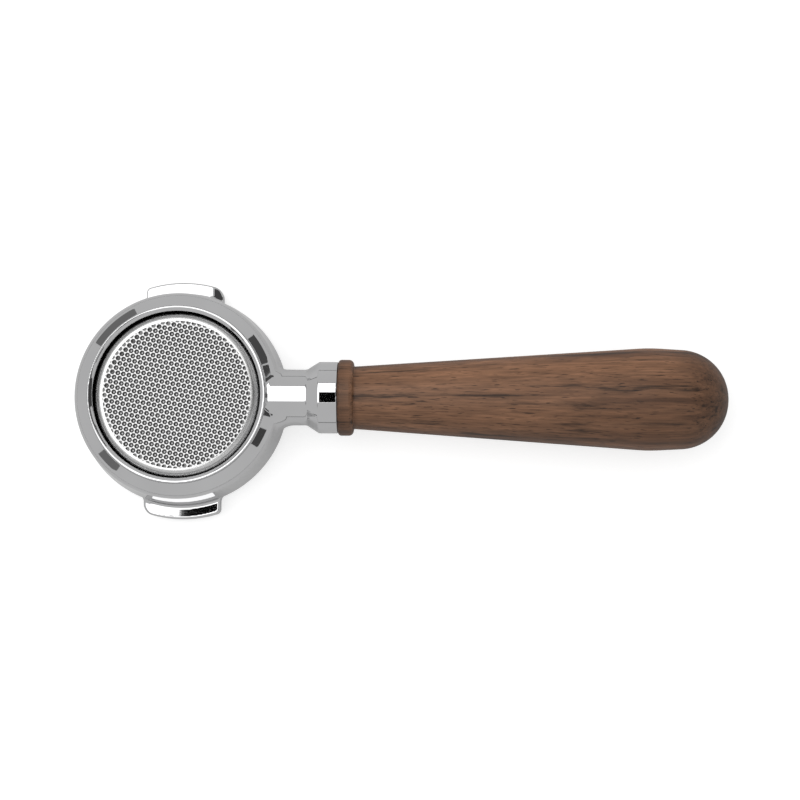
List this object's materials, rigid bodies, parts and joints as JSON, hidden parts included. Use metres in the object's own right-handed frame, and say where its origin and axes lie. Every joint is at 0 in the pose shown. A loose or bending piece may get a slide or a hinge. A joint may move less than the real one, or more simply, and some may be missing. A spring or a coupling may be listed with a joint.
{
  "type": "portafilter",
  "caption": "Bottomless espresso filter holder: chromed ring with two bayonet ears, perforated steel basket held by a wire spring, and a turned wooden handle on a threaded stud.",
  "frame": {"origin": "centre of the basket's sealing rim, in the plane of the rim, on the basket's axis; the part lies mouth down on that rim", "axes": "+Z along the basket's axis, out through its perforated bottom; +X from the basket's axis towards the end of the handle; +Y completes the right-handed frame, towards the ear whose lead-in faces +X"},
  "size_m": [0.2371, 0.0874, 0.0377],
  "materials": {
    "chromed_brass": "polished chrome plate on cast brass",
    "basket_steel": "satin stainless sheet",
    "spring_steel": "bright drawn wire",
    "plated_steel": "zinc plated, threaded",
    "washer_steel": "plain spring steel",
    "brass": "machined",
    "walnut": "oiled, satin, grain along the handle"
  },
  "bodies": {
    "basket": {"filter_basket": "basket_steel"},
    "spring_clip": {"retaining_spring": "spring_steel"},
    "holder": {"portafilter_body": "chromed_brass", "handle_stud": "plated_steel", "lock_washer": "washer_steel", "threaded_insert": "brass", "wooden_handle": "walnut"}
  },
  "joints": [
    {"name": "basket_release", "type": "slide", "parent": "basket", "child": "spring_clip", "axis": [0, 0, 1], "range_m": [0, 0.036]},
    {"name": "basket_turn", "type": "hinge", "parent": "spring_clip", "child": "holder", "pos_m": [0, 0, 0], "axis": [0, 0, 1], "continuous": true}
  ]
}
